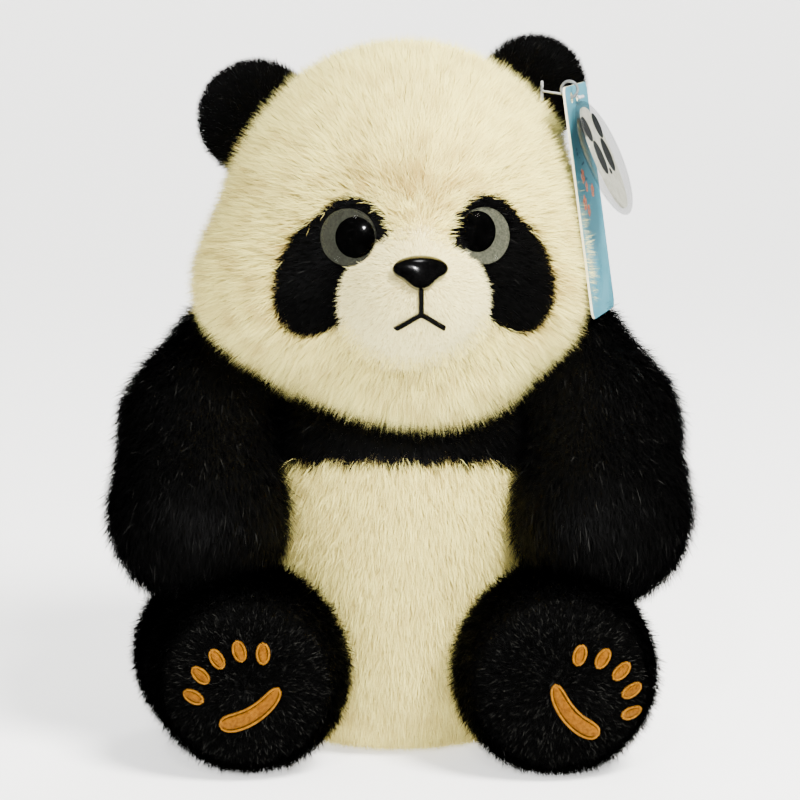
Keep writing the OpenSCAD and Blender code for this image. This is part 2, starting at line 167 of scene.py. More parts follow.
def studio():
    world = bpy.data.worlds.new("studio")
    bpy.context.scene.world = world
    world.use_nodes = True
    back = world.node_tree.nodes["Background"]
    back.inputs["Color"].default_value = (1.0, 0.985, 0.96, 1)
    back.inputs["Strength"].default_value = 0.4
    world.cycles_visibility.glossy = False
    area_light("key", (0.55, -0.75, 1.1), 0.5, 74, glossy=False, colour=(1, 0.97, 0.92))
    area_light("fill", (-0.9, -0.8, 0.4), 0.8, 3.5, glossy=False)
    area_light("rim", (0.2, 0.8, 0.95), 0.5, 8, glossy=False)
    area_light("spark", (-0.14, -1.0, 0.72), 0.06, 6)
    area_light("softbox", (0.1, -0.3, 1.3), 0.3, 1.5)
    bm = bmesh.new()
    reach, rise, bend, steps = 1.6, 1.6, 0.35, 12
    line = [(-reach, 0.0)] + [
        (reach - bend + bend * math.sin(t), bend - bend * math.cos(t))
        for t in (math.pi / 2 * k / steps for k in range(steps + 1))
    ] + [(reach, rise)]
    rows = [[bm.verts.new((x, y, z)) for x in (-2.4, 2.4)] for y, z in line]
    for a, b in zip(rows, rows[1:]):
        bm.faces.new((a[0], a[1], b[1], b[0]))
    sweep = object_from(bm, "backdrop")
    sweep.visible_glossy = False
    mat, _, _ = new_material("backdrop_paper", grey(0.93), 0.9, Specular_IOR_Level=0.0,
                             Emission_Strength=1.25, Emission_Color=(1, 1, 0.98, 1))
    sweep.data.materials.append(mat)


# ---------- meshes ----------

def object_from(bm, name, smooth=True):
    bmesh.ops.recalc_face_normals(bm, faces=bm.faces)
    mesh = bpy.data.meshes.new(name)
    bm.to_mesh(mesh)
    bm.free()
    mesh.polygons.foreach_set("use_smooth", [smooth] * len(mesh.polygons))
    obj = bpy.data.objects.new(name, mesh)
    bpy.context.collection.objects.link(obj)
    return obj


def round_cone(p, a, b, ra, rb):
    """Distance from a rod whose radius goes from ra to rb."""
    run = b - a
    t = np.clip((p - a) @ run / (run @ run), 0, 1)
    return np.linalg.norm(p - a - t[:, None] * run, axis=1) - (ra + (rb - ra) * t)


def ball(p, centre, radii):
    """Roughly the distance from an ellipsoid."""
    radii = np.asarray(radii, float)
    q = p - centre
    k = np.linalg.norm(q / radii, axis=1)
    slope = np.linalg.norm(q / radii ** 2, axis=1)
    return np.where(slope > 1e-9, k * (k - 1) / np.maximum(slope, 1e-9), -radii.min())


def blend_in(a, b, k):
    h = np.clip(0.5 + 0.5 * (b - a) / k, 0, 1)
    return b * (1 - h) + a * h - k * h * (1 - h)


def cut_to(a, b, k):
    return -blend_in(-a, -b, k)


def star_points(centre, field, level=6, steps=60):
    """Icosphere whose corners have walked outward from the centre to where the field is zero."""
    bm = bmesh.new()
    bmesh.ops.create_icosphere(bm, subdivisions=level, radius=1)
    dirs = np.array([v.co[:] for v in bm.verts])
    reach = np.zeros(len(dirs))
    for _ in range(steps):
        reach -= field(centre + dirs * reach[:, None]) * 0.8
    place = centre + dirs * reach[:, None]
    place[:, 2] = np.maximum(place[:, 2], FLOOR)
    for v, co in zip(bm.verts, place * MM):
        v.co = co
    return bm


def star(name, centre, field, level=6):
    """Closed skin on which the field is zero."""
    return object_from(star_points(centre, field, level), name)


def shell(obj, thickness):
    """Gives an open skin the thickness of its fabric, inward."""
    solid = obj.modifiers.new("fabric", "SOLIDIFY")
    solid.thickness = thickness * MM
    solid.offset = -1
    with bpy.context.temp_override(object=obj):
        bpy.ops.object.modifier_apply(modifier=solid.name)


def attach(obj, material, body, slot, *nodes):
    """Gives a piece its material and its body, and hides the CAD nodes that it stands for. The slot is not
    used.
    """
    obj.data.materials.append(material)
    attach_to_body(obj, body)
    if nodes:
        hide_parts(*nodes)


def ring_points(x, y, r, count=24, squash=1.0):
    return [(x + r * math.cos(a), y + r * squash * math.sin(a))
            for a in (2 * math.pi * k / count for k in range(count))]


def lengths(points):
    """How far along a line each of its points is."""
    return np.concatenate([[0], np.cumsum(np.linalg.norm(np.diff(points, axis=0), axis=1))])


def read_off(at, steps, rows):
    """The row at a distance along a line, or one for each of several distances."""
    return np.stack([np.interp(at, steps, column) for column in rows.T], axis=-1)


# ---------- materials ----------

def grey(value):
    return (value, value, value)


def new_material(name, colour, roughness, **values):
    """A Principled material, and its node tree and shader, for nodes to be added to."""
    mat = bpy.data.materials.new(name)
    mat.use_nodes = True
    nt = mat.node_tree
    shader = nt.nodes["Principled BSDF"]
    shader.inputs["Base Color"].default_value = (*colour, 1)
    shader.inputs["Roughness"].default_value = roughness
    for key, value in values.items():
        shader.inputs[key.replace("_", " ")].default_value = value
    mat.diffuse_color = (*colour, 1)
    return mat, nt, shader


def ramp(nt, fac, stops):
    node = nt.nodes.new("ShaderNodeValToRGB")
    while len(node.color_ramp.elements) < len(stops):
        node.color_ramp.elements.new(0.5)
    for element, (at, colour) in zip(node.color_ramp.elements, stops):
        element.position = at
        element.color = (*colour, 1)
    nt.links.new(fac, node.inputs["Fac"])
    return node.outputs["Color"]


def mix(nt, fac, a, b, kind="MIX"):
    node = nt.nodes.new("ShaderNodeMix")
    node.data_type = "RGBA"
    node.blend_type = kind
    for key, value in ((0, fac), (6, a), (7, b)):
        if hasattr(value, "is_linked"):
            nt.links.new(value, node.inputs[key])
        else:
            node.inputs[key].default_value = value
    return node.outputs[2]


def noise(nt, scale, detail=3.0):
    """Noise fixed to the object, in cells of 1 / scale metres."""
    coords = nt.nodes.new("ShaderNodeTexCoord")
    node = nt.nodes.new("ShaderNodeTexNoise")
    node.inputs["Scale"].default_value = scale
    node.inputs["Detail"].default_value = detail
    nt.links.new(coords.outputs["Object"], node.inputs["Vector"])
    return node.outputs["Fac"]


def bump(nt, shader, height, strength, distance):
    node = nt.nodes.new("ShaderNodeBump")
    node.inputs["Strength"].default_value = strength
    node.inputs["Distance"].default_value = distance
    nt.links.new(height, node.inputs["Height"])
    nt.links.new(node.outputs["Normal"], shader.inputs["Normal"])


def mottled(name, dark, pale, scale, roughness, rough_range=None, bumpy=0.0, **values):
    """A material whose colour wanders between two tones, with fine bumps if asked."""
    mat, nt, shader = new_material(name, pale, roughness, **values)
    grain = noise(nt, scale)
    nt.links.new(ramp(nt, grain, [(0.35, dark), (0.65, pale)]), shader.inputs["Base Color"])
    if rough_range:
        low, high = rough_range
        nt.links.new(ramp(nt, grain, [(0.3, grey(low)), (0.7, grey(high))]), shader.inputs["Roughness"])
    if bumpy:
        bump(nt, shader, grain, bumpy, 0.0003)
    return mat


def fur_material(name, root, middle_colour, tip, cast, glint, roughness, **values):
    """Strand colour runs from root to tip along V, darker at the root as painted shade deep in the pile.
    Along U the shade rises, with painted glints at the end.
    """
    mat, nt, shader = new_material(name, middle_colour, roughness, **values)
    uv = nt.nodes.new("ShaderNodeUVMap")
    uv.uv_map = UV_NAME
    axes = nt.nodes.new("ShaderNodeSeparateXYZ")
    nt.links.new(uv.outputs["UV"], axes.inputs[0])
    along = ramp(nt, axes.outputs["Y"], [(0.0, root), (0.45, middle_colour), (1.0, tip)])
    stops = [(0.0, cast), (0.55, (1, 1, 1)), (0.86, (1.1, 1.1, 1.08)), (0.9, glint)]
    shade = ramp(nt, axes.outputs["X"], stops)
    nt.links.new(mix(nt, 1.0, along, shade, "MULTIPLY"), shader.inputs["Base Color"])
    return mat


# ---------- fur ----------

GLINT_SHADE = 0.95      # place along U of the strands painted with glints, a painted highlight
JITTER = 0.22           # how far each strand strays from its lean


def triples(items, key, kind=float):
    flat = np.empty(len(items) * 3, kind)
    items.foreach_get(key, flat)
    return flat.reshape(-1, 3)


class Ground:
    """A skin's triangles, to plant strands on."""

    def __init__(self, obj):
        mesh = obj.data
        mesh.calc_loop_triangles()
        self.co = triples(mesh.vertices, "co") / MM
        self.no = triples(mesh.vertices, "normal")
        self.tris = triples(mesh.loop_triangles, "vertices", np.int64)
        a, b, c = (self.co[self.tris[:, k]] for k in range(3))
        self.area = np.linalg.norm(np.cross(b - a, c - a), axis=1) / 2

    def plant(self, per_mm2, rng):
        """Random roots and their normals, at so many to the square millimetre."""
        count = int(self.area.sum() * per_mm2)
        pick = np.searchsorted(np.cumsum(self.area), rng.random(count) * self.area.sum())
        pick = np.minimum(pick, len(self.tris) - 1)
        u, v = rng.random(count), rng.random(count)
        over = u + v > 1
        u[over], v[over] = 1 - u[over], 1 - v[over]
        weights = np.stack([1 - u - v, u, v], axis=1)[:, :, None]
        corners = self.tris[pick]
        return (self.co[corners] * weights).sum(axis=1), unit((self.no[corners] * weights).sum(axis=1))

    def tree(self):
        return BVHTree.FromPolygons(self.co.tolist(), self.tris.tolist())


def along_skin(v, normal):
    """The part of v that lies along the skin, at length 1."""
    return unit(v - (v * normal).sum(axis=1, keepdims=True) * normal)


def hashed(cells, seed):
    """Three numbers from 0 to 1 for each cell of a grid."""
    big = (cells * np.array([73856093, 19349663, 83492791])).sum(axis=1) + seed * 7919
    return np.stack([np.modf(np.abs(np.sin(big % 100003 * (12.9898 + k * 31.7)) * 43758.5453))[0]
                     for k in range(3)], axis=1)


def clump_pull(p, pitch, seed):
    """From each root to the nearest clump's middle, and a number for that clump."""
    cell = np.floor(p / pitch).astype(np.int64)
    best = np.full(len(p), 1e9)
    pull = np.zeros_like(p)
    tone = np.zeros(len(p))
    for step in itertools.product((-1, 0, 1), repeat=3):
        c = cell + np.array(step)
        spot = hashed(c, seed)
        d = (c + spot) * pitch - p
        far = (d * d).sum(axis=1)
        near = far < best
        best[near], pull[near], tone[near] = far[near], d[near], spot[near, 0]
    return pull, tone


def strands(name, body, slot, material, p, n, comb, length, lift, rng, width=0.18, bend=0.5, sag=0.15,
            clump=0.35, pitch=3.2, soft=0.65, shade=0.5, tone_spread=0.3, glints=0.0):
    """Meshes of tapering strands that stand on p, lean along comb and draw together in clumps."""
    count = len(p)
    if not count:
        return
    length = np.broadcast_to(np.asarray(length, float), count) * rng.uniform(0.7, 1.15, count)
    lift = np.broadcast_to(np.asarray(lift, float), count)[:, None]
    pull, tone = clump_pull(p, pitch, 3)
    pull -= (pull * n).sum(axis=1, keepdims=True) * n
    d0 = unit(n * lift + comb * (1 - lift) + rng.normal(0, JITTER, (count, 3)))
    d1 = unit(d0 + comb * bend + np.array([0, 0, -sag]))
    inward = (d1 * n).sum(axis=1, keepdims=True)
    d1 = unit(d1 + n * np.maximum(0.12 - inward, 0))
    half = length[:, None] / 2
    mid = p + d0 * half + pull * clump * 0.35
    tip = mid + d1 * half + pull * clump * 0.65
    mid[:, 2] = np.maximum(mid[:, 2], FLOOR)
    tip[:, 2] = np.maximum(tip[:, 2], FLOOR)
    side0 = unit(np.cross(d0, n + rng.normal(0, 0.35, (count, 3))))
    side1 = unit(np.cross(unit(tip - mid), n + rng.normal(0, 0.35, (count, 3))))
    w = (width * rng.uniform(0.7, 1.2, count))[:, None] / 2
    waist = side1 * w * 0.85
    verts = np.stack([p - side0 * w, p + side0 * w, mid - waist, mid + waist, tip], axis=1)
    flat = np.cross(side1, unit(tip - mid))
    flat *= np.sign((flat * n).sum(axis=1, keepdims=True) + 1e-9)
    normal = unit(n * soft + flat * (1 - soft))
    u = np.clip(shade + (tone - 0.5) * tone_spread + rng.normal(0, 0.12, count), 0.03, 0.84)
    # A few strands take the glint colour: painted highlights.
    shining = rng.random(count) < glints
    u[shining] = GLINT_SHADE
    for k, start in enumerate(range(0, count, STRANDS_PER_PIECE)):
        part = slice(start, min(start + STRANDS_PER_PIECE, count))
        made = strand_mesh(f"{name}_{k + 1}", verts[part], normal[part], u[part])
        attach(made, material, body, slot)


def strand_mesh(name, verts, normal, u):
    """Five corners to a strand: two at the root, two halfway and one at the tip."""
    count = len(verts)
    mesh = bpy.data.meshes.new(name)
    mesh.vertices.add(count * 5)
    mesh.vertices.foreach_set("co", (verts * MM).astype(np.float32).ravel())
    base = (np.arange(count) * 5)[:, None]
    corners = (base + np.array([0, 1, 3, 2, 2, 3, 4])).ravel()
    mesh.loops.add(count * 7)
    mesh.loops.foreach_set("vertex_index", corners.astype(np.int32))
    mesh.polygons.add(count * 2)
    starts = (np.arange(count)[:, None] * 7 + np.array([0, 4])).ravel()
    mesh.polygons.foreach_set("loop_start", starts.astype(np.int32))
    mesh.update(calc_edges=True)
    half = 0.012
    uv = mesh.uv_layers.new(name=UV_NAME)
    across = np.stack([u - half, u + half, u + half, u - half, u - half, u + half, u], axis=1)
    up = np.broadcast_to(np.array([0.02, 0.02, 0.5, 0.5, 0.5, 0.5, 0.98]), across.shape)
    uv.data.foreach_set("uv", np.stack([across, up], axis=2).astype(np.float32).ravel())
    mesh.polygons.foreach_set("use_smooth", [True] * (count * 2))
    mesh.normals_split_custom_set_from_vertices(np.repeat(normal, 5, axis=0).astype(np.float32))
    obj = bpy.data.objects.new(name, mesh)
    bpy.context.collection.objects.link(obj)
    return obj


# ---------- forms of the skins ----------

def torso_radius(z):
    low = np.clip(z / TORSO_WIDE_Z, 0, 1)
    high = np.clip((z - TORSO_WIDE_Z) / (TORSO_TOP - TORSO_WIDE_Z), 0, 1)
    below = SEAT_R + (TORSO_R - SEAT_R) * np.sqrt(1 - (1 - low) ** 2)
    above = TORSO_R * (1 - high ** 4) ** 0.25
    return np.where(z < TORSO_WIDE_Z, below, above)


ARM_R = box_mm("arm_right_skin")[1][2] - pivot("arm_right_swing")[2]
HIP_R = box_mm("leg_right_skin")[1][2] - pivot("leg_right_lift")[2]
FOOT_R = {"left": 30.5, "right": 31.8}


def mirrored(q):
    """Points folded onto the right half of the head."""
    return np.stack([np.abs(q[:, 0]), q[:, 1], q[:, 2]], axis=1)


# Middles and half sizes of the head's forms, in the head's own directions.
CROWN = np.array([1.7, 0, 0])
CHEEK_SHIFT = np.array([3.0, 0, 0])     # the cheeks lie a little to the left of the face
CHEEK, CHEEK_SIZE = np.array([30, -6, -15]), [33.5, 40, 26]
CHIN, CHIN_SIZE = np.array([3, -21, -29]), [33, 32, 33]
SOCKET, SOCKET_R = np.array([24, -64, 6]), 10
BRIDGE_RISE, BRIDGE_SIZE = np.array([0, 3, 15]), [13, 17, 15]


def skull_field(q):
    skull = ball(q, CROWN, [HEAD_R - 3, HEAD_R - 1, HEAD_R])
    skull = blend_in(skull, ball(mirrored(q + CHEEK_SHIFT), CHEEK, CHEEK_SIZE), 13)
    skull = blend_in(skull, ball(q, CHIN, CHIN_SIZE), 8)
    return cut_to(skull, SOCKET_R - np.linalg.norm(mirrored(q) - SOCKET, axis=1), 8)


def snout_field(q):
    """The muzzle with the bridge that runs up between the eyes."""
    snout = ball(q, MUZZLE, [MUZZLE_R - 0.3, MUZZLE_R - 0.5, MUZZLE_R - 3])
    return blend_in(snout, ball(q, MUZZLE + BRIDGE_RISE, BRIDGE_SIZE), 8)


def head_field(p):
    q = to_head(p)
    return blend_in(skull_field(q), snout_field(q), 7)


def on_muzzle(p, spread=0.0):
    """True where the short pile of the muzzle grows; spread shifts the edge, in millimetres."""
    q = to_head(p)
    return (snout_field(q) < skull_field(q) - 0.5 + spread) & (q[:, 1] < 0)


def head_gap(p):
    """Distance outside the head, however it is turned a little."""
    return np.minimum(np.linalg.norm(p - HEAD, axis=1) - HEAD_R, skull_field(to_head(p)))


def torso_field(p):
    radial = np.hypot(p[:, 0], p[:, 1] - TORSO_Y)
    wall = (radial - torso_radius(p[:, 2])) * 0.8
    solid = cut_to(cut_to(wall, -p[:, 2], 6), p[:, 2] - TORSO_TOP, 6)
    low = np.clip((80 - p[:, 2]) / 20, 0, 1)
    side_wall = SIDE_FLAT + BELLY_SPREAD * low * low * (3 - 2 * low)
    solid = cut_to(solid, (np.abs(p[:, 0]) - side_wall) * 0.9, 8)
    solid = cut_to(solid, 5 - head_gap(p), 6)
    for side in SIDES:
        hip, aim, _, _, length = leg_frame(side)
        thigh = round_cone(p, hip, hip + aim * (length + 30), HIP_R + 0.6, HIP_R + 0.6)
        raised = hip + (aim + np.array([0, 0, LIFT_RISE])) * (length + 30)
        thigh = np.minimum(thigh, round_cone(p, hip, raised, HIP_R + 0.4, HIP_R + 0.4))
        solid = cut_to(solid, -thigh, 5)
    return solid


LIFT_RISE = math.tan(math.radians(joints["leg_left_lift"]["range_deg"][1]))


def paw_of(side):
    """Middle of the paw's ball in the CAD arm."""
    low, high = box_mm(f"arm_{side}_skin")
    outer = high[0] - ARM_R if side == "right" else low[0] + ARM_R
    return np.array([outer, low[1] + ARM_R, low[2] + ARM_R])


def arm_field(side):
    sign = SIDES[side]
    shoulder, paw = pivot(f"arm_{side}_swing"), paw_of(side)
    top = shoulder + np.array([-sign * 9, 0, 16])
    elbow = shoulder + np.array([sign * 1.5, -11, -4])
    hand = paw + np.array([-sign * 1.5, -2, -8])
    thigh = leg_field(side)

    def field(p):
        upper = round_cone(p, top, elbow, ARM_R - 5, ARM_R - 1.5)
        lower = round_cone(p, elbow, hand, ARM_R - 1.5, ARM_R + 2.5)
        limb = blend_in(upper, lower, 6)
        limb = cut_to(limb, 1.2 - torso_field(p), 6)
        limb = cut_to(limb, 2.5 - thigh(p), 6)
        return cut_to(limb, 3.5 - head_gap(p), 6)
    return field


def leg_frame(side):
    """Hip, the direction from the hip through the sole, and the sole's right and up directions."""
    hip = pivot(f"leg_{side}_lift")
    low, high = box_mm(f"leg_{side}_sole")
    aim = np.array([(low[0] + high[0]) / 2, low[1], (low[2] + high[2]) / 2]) - hip
    length = np.linalg.norm(aim)
    aim = aim / length
    return (hip, aim, *right_and_up(aim), length)


BULGE = {"left": np.array([-13.5, 12, -5]), "right": np.array([1, 12, -5])}


def leg_field(side):
    hip, aim, _, _, length = leg_frame(side)
    sole = hip + aim * length
    bulge = hip + BULGE[side]

    def field(p):
        limb = round_cone(p, hip, sole, HIP_R, FOOT_R[side])
        limb = blend_in(limb, round_cone(p, bulge, bulge + np.array([0, -14, 0]), 27, 25), 8)
        dome = np.linalg.norm(p - sole + aim * 66, axis=1) - 66
        return cut_to(cut_to(limb, dome, 14), FLOOR - p[:, 2], 5)
    return field


EAR_R = {"left": 18.6, "right": 16.8}
EAR_SHIFT = {"left": (2.6, 0, -2.6), "right": (-1.8, 0, -1.6)}
EAR_THICK = 13.0


def ear_frame(side):
    """Middle of the ear's disc, with its outward direction, its fold's axis and its facing."""
    seam = from_head(np.array([0, CROWN_SEAM_Y, 0]))
    foot = pivot(f"ear_{side}_fold")
    out = unit(foot - seam)
    across = unit(np.array(joints[f"ear_{side}_fold"]["axis"]))
    top = box_mm(f"ear_{side}_skin")[1][2]
    centre = foot + out * ((top - 17 - foot[2]) / out[2]) + np.array(EAR_SHIFT[side])
    return centre, out, across, np.cross(out, across)


def ear_field(side):
    centre, out, across, facing = ear_frame(side)

    def field(p):
        q = p - centre
        local = np.stack([q @ across, q @ facing, q @ out], axis=1)
        disc = ball(local, np.zeros(3), [EAR_R[side], EAR_THICK / 2, EAR_R[side]])
        foot = ball(local, np.array([0, 0, -12.5]), [13.5, EAR_THICK / 2 + 1, 8])
        return blend_in(disc, foot, 5)
    return field


def tail_field(p):
    low, high = box_mm("tail_skin")
    centre = np.array([0, low[1] + 1, (low[2] + high[2]) / 2])
    return ball(p, centre, [(high[0] - low[0]) / 2, high[1] - low[1] - 1, (high[2] - low[2]) / 2])


# ---------- coats ----------

# The cream backing is darker than the fur: painted shade where the pile covers the fabric.
CREAM_BACKING = mottled("cream_backing", (0.50, 0.38, 0.12), (0.66, 0.53, 0.20), 1800, 0.9)
BLACK_BACKING = mottled("black_backing", grey(0.001), grey(0.002), 1800, 0.9)
# Each fur's root colour is darker than its tip: painted shade deep in the pile. Its last colour is a painted
# glint.
CREAM_FUR = fur_material("cream_fur", (0.60, 0.46, 0.12), (0.87, 0.76, 0.225), (0.95, 0.88, 0.30),
                         (0.56, 0.44, 0.36), (1.15, 1.12, 1.05), 0.6, Specular_IOR_Level=0.15)
SHORT_CREAM = fur_material("short_cream_fur", (0.74, 0.62, 0.26), (0.90, 0.81, 0.37), (0.96, 0.90, 0.44),
                           (0.86, 0.78, 0.66), (1.1, 1.1, 1.05), 0.65, Specular_IOR_Level=0.12)
BLACK_FUR = fur_material("black_fur", grey(0.0006), grey(0.0013),
                         grey(0.003), grey(0.5), (13, 13, 12), 0.45, Specular_IOR_Level=0.1)
SHORT_BLACK = fur_material("short_black_fur", grey(0.0004), grey(0.0009),
                           (0.002, 0.002, 0.0019), grey(0.5), (24, 24, 22), 0.5,
                           Specular_IOR_Level=0.08)


def coat(name, ground, body, slot, material, per_mm2, keep, comb_of, rng, **look):
    """Plants strands where keep says, combed as comb_of says."""
    p, n = ground.plant(per_mm2 * DENSITY, rng)
    chosen = keep(p, n)
    p, n = p[chosen], n[chosen]
    comb = along_skin(comb_of(p, n) + rng.normal(0, 0.12, p.shape), n)
    look = {k: (v(p, n) if callable(v) else v) for k, v in look.items()}
    if DENSITY < 1:
        look["width"] = look.get("width", 0.18) * 1.5
    strands(name, body, slot, material, p, n, comb, rng=rng, **look)


PATCH_X, PATCH_Z = 29.5, -6.3
PATCH_LEAN = math.radians(28)
PATCH_LONG, PATCH_SHORT = 22.3, 14      # half sizes of the oval
EYE_RING = 13.6         # black fur surrounds the eye at least so far from its middle


def patch_share(q):
    """Below 1 inside an eye patch, for points in the head's own directions."""
    x, z = np.abs(q[:, 0]) - PATCH_X, q[:, 2] - PATCH_Z
    long = -x * math.sin(PATCH_LEAN) + z * math.cos(PATCH_LEAN)
    short = x * math.cos(PATCH_LEAN) + z * math.sin(PATCH_LEAN)
    inside = (long / PATCH_LONG) ** 2 + (short / PATCH_SHORT) ** 2
    inside = np.minimum(inside, (eye_gap(q) / EYE_RING) ** 4)
    return np.where(q[:, 1] < 0, inside, 9.0)


def eye_gap(q):
    """Distance from the nearer eye's middle, for points in the head's own directions."""
    eye = to_head(EYES["right"][None])[0]
    return np.linalg.norm(mirrored(q) - eye, axis=1)


def dark_where(skin, chosen):
    """Gives the skin's faces under black fur a black backing; chosen takes their middles."""
    middles = np.array([f.center[:] for f in skin.data.polygons]) / MM
    skin.data.materials.append(BLACK_BACKING)
    skin.data.polygons.foreach_set("material_index", chosen(middles).astype(np.int32))


def clad(skin, node_names, body, slot, material):
    """Finishes a fabric skin that stands for CAD nodes."""
    attach(skin, material, body, slot, *node_names)
    return Ground(skin)


def split_head():
    """The head's skin and the muzzle's, as two shells that meet at a seam."""
    whole = star_points(HEAD, head_field, 6)
    whole.faces.ensure_lookup_table()
    middles = np.array([f.calc_center_median()[:] for f in whole.faces]) / MM
    chosen = on_muzzle(middles)
    pieces = []
    for name, drop in (("head_skin", chosen), ("muzzle_fabric", ~chosen)):
        bm = whole.copy()
        bm.faces.ensure_lookup_table()
        bmesh.ops.delete(bm, geom=[bm.faces[i] for i in np.nonzero(drop)[0]], context="FACES")
        pieces.append(object_from(bm, name))
    full = object_from(whole, "head_form")
    ground = Ground(full)
    bpy.data.objects.remove(full)
    for piece in pieces:
        shell(piece, 1.5)
    return pieces, ground


def by_card(p):
    """1 for roots close behind the hang tag, so that the pile there is short."""
    out, back, up = card_axes()
    q = p - pivot("tag_swing")
    beside = (q @ back > 4 - CARD_W / 2) & (q @ back < CARD_W / 2 + 3) & (q @ up < HOLE_DROP + 3)
    return np.where(beside & (q @ up > -CARD_H) & (np.abs(q @ out) < 12), 1.0, 0.0)


def head():
    rng = np.random.default_rng(11)
    (skin, muzzle_skin), ground = split_head()
    clad(skin, ["head_front_skin", "head_back_skin", "head_stuffing", "eye_patch_left", "eye_patch_right"],
         "head", "cream_plush", CREAM_BACKING)
    dark_where(skin, lambda p: patch_share(to_head(p)) < 1)
    clad(muzzle_skin, ["muzzle_skin", "muzzle_stuffing"], "head", "short_cream_plush", CREAM_BACKING)
    nose_at = middle("nose")

    def outside(p):
        q = to_head(p)
        return (eye_gap(q) > 10.2) & (np.linalg.norm(p - pivot("head_nod"), axis=1) > 27)

    def face_comb(p, n):
        q = to_head(p)
        away = q - np.array([0, -60, 6])
        down = np.broadcast_to([0, 0, -1.0], q.shape)
        back = np.clip((q[:, 1] + 5) / 35, 0, 1)[:, None]
        return turn_z(unit(away) * (1 - back) + down * back, HEAD_YAW)

    def fur_length(p, n):
        q = to_head(p)
        near = np.clip((eye_gap(q) - 10) / 12, 0, 1)
        near = np.minimum(near, np.clip((snout_field(q) - skull_field(q)) / 10, 0, 1))
        long = 3.2 + 6.0 * near + 1.0 * np.clip((-q[:, 2] - 25) / 20, 0, 1)
        return long * (1 - 0.5 * by_card(p))

    def tone(p, n):
        q = to_head(p)
        brow = np.exp(-((q[:, 0] / 17) ** 2 + ((q[:, 2] - 21) / 9) ** 2)) * (q[:, 1] < 0)
        beside = np.exp(-np.clip(snout_field(q) - skull_field(q), 0, 40) / 5)
        # Painted shade: the fur darkens towards the sides of the head, where it turns away from the light.
        shaded_flank = np.clip((np.abs(q[:, 0]) - 38) / 20, 0, 1)
        return 0.54 - 0.36 * brow + 0.2 * beside - 0.14 * shaded_flank

    def in_patch(p):
        return patch_share(to_head(p)) < 1

    def ragged(p):
        """The muzzle's edge, scattered so that the two piles mingle."""
        low = np.clip((MUZZLE[2] - to_head(p)[:, 2]) / 12, 0, 1)
        return on_muzzle(p, (1.5 + 3.5 * low) * np.sin(p @ np.array([37.0, 91.0, 53.0])) - 1)

    coat("head_fur", ground, "head", "cream_plush", CREAM_FUR, 5.6,
         lambda p, n: outside(p) & ~ragged(p) & ~in_patch(p), face_comb, rng,
         length=fur_length, lift=0.6, width=0.18, bend=0.35, sag=0.12, clump=0.42, pitch=3.8, shade=tone,
         tone_spread=0.55)
    for side, sign in SIDES.items():
        coat(f"eye_patch_{side}_fur", ground, "head", "black_plush", BLACK_FUR, 8.5,
             lambda p, n: outside(p) & ~on_muzzle(p) & in_patch(p) & (to_head(p)[:, 0] * sign > 0),
             face_comb, rng, length=4.0, lift=0.5, width=0.22, bend=0.35, clump=0.25, glints=0.004)
    coat("muzzle_fur", ground, "head", "short_cream_plush", SHORT_CREAM, 12,
         lambda p, n: outside(p) & ragged(p) & ~(in_patch(p) & ~on_muzzle(p)),
         lambda p, n: p - nose_at, rng, length=2.6, lift=0.45, width=0.16, bend=0.45, clump=0.14,
         pitch=2.0, soft=0.8, shade=0.55)
    return ground


NECK_STEM_R = 11.5


def neck():
    """Closed collar of backing fabric around the neck's filling."""
    low, high = box_mm("neck_stuffing")
    centre = pivot("head_turn")
    radius = (high[0] - low[0]) / 2 - 0.3
    stem = centre - np.array([0, 0, centre[2] - low[2] - radius / 2])

    def field(p):
        knob = np.linalg.norm(p - centre, axis=1) - radius
        return blend_in(knob, round_cone(p, centre, stem, NECK_STEM_R, NECK_STEM_R), 3)
    collar = star("neck_fabric", centre, field, 5)
    clad(collar, ["neck_stuffing"], "neck", "cream_plush", CREAM_BACKING)


def torso():
    rng = np.random.default_rng(13)
    skin = star("torso_skin", np.array([0, TORSO_Y, 60.0]), torso_field, 6)
    panels = ["shoulder_yoke", "belly_panel", "back_panel_left", "back_panel_right", "base_panel"]
    ground = clad(skin, panels + ["torso_stuffing"], "torso", "cream_plush", CREAM_BACKING)

    def open_to_view(p):
        under_head = head_gap(p) < 5.6
        deep = under_head & (np.linalg.norm(p[:, :2], axis=1) < 34)
        return ~deep & (p[:, 2] > 1.5)

    def down(p, n):
        return np.broadcast_to([0, -0.05, -1.0], p.shape)

    def band_edge(p):
        ripple = 0.8 * np.sin(p[:, 0] * 0.5) + 0.5 * np.sin(p[:, 0] * 1.3 + 1)
        return p[:, 2] - YOKE_Z - 3 - ripple + 9 * np.abs(p[:, 0] / 45) ** 4

    def tone(p, n):
        # Painted shade: the fur darkens towards the bottom, near the floor.
        return 0.5 - 0.12 * np.clip((40 - p[:, 2]) / 40, 0, 1)

    dark_where(skin, lambda p: band_edge(p) > 0)
    coat("belly_fur", ground, "torso", "cream_plush", CREAM_FUR, 4.8,
         lambda p, n: open_to_view(p) & (band_edge(p) < 0) & (p[:, 1] < TORSO_Y), down, rng,
         length=8.0, lift=0.42, bend=0.4, sag=0.3, clump=0.26, shade=tone)
    coat("back_fur", ground, "torso", "cream_plush", CREAM_FUR, 3.6,
         lambda p, n: open_to_view(p) & (band_edge(p) < 0) & (p[:, 1] >= TORSO_Y), down, rng,
         length=8.0, lift=0.42, width=0.24, bend=0.4, sag=0.3, clump=0.3, shade=tone)
    coat("shoulder_fur", ground, "torso", "black_plush", BLACK_FUR, 5.5,
         lambda p, n: open_to_view(p) & (band_edge(p) >= 0), down, rng,
         length=7.5, lift=0.5, width=0.26, bend=0.4, sag=0.3, clump=0.3, glints=0.004)


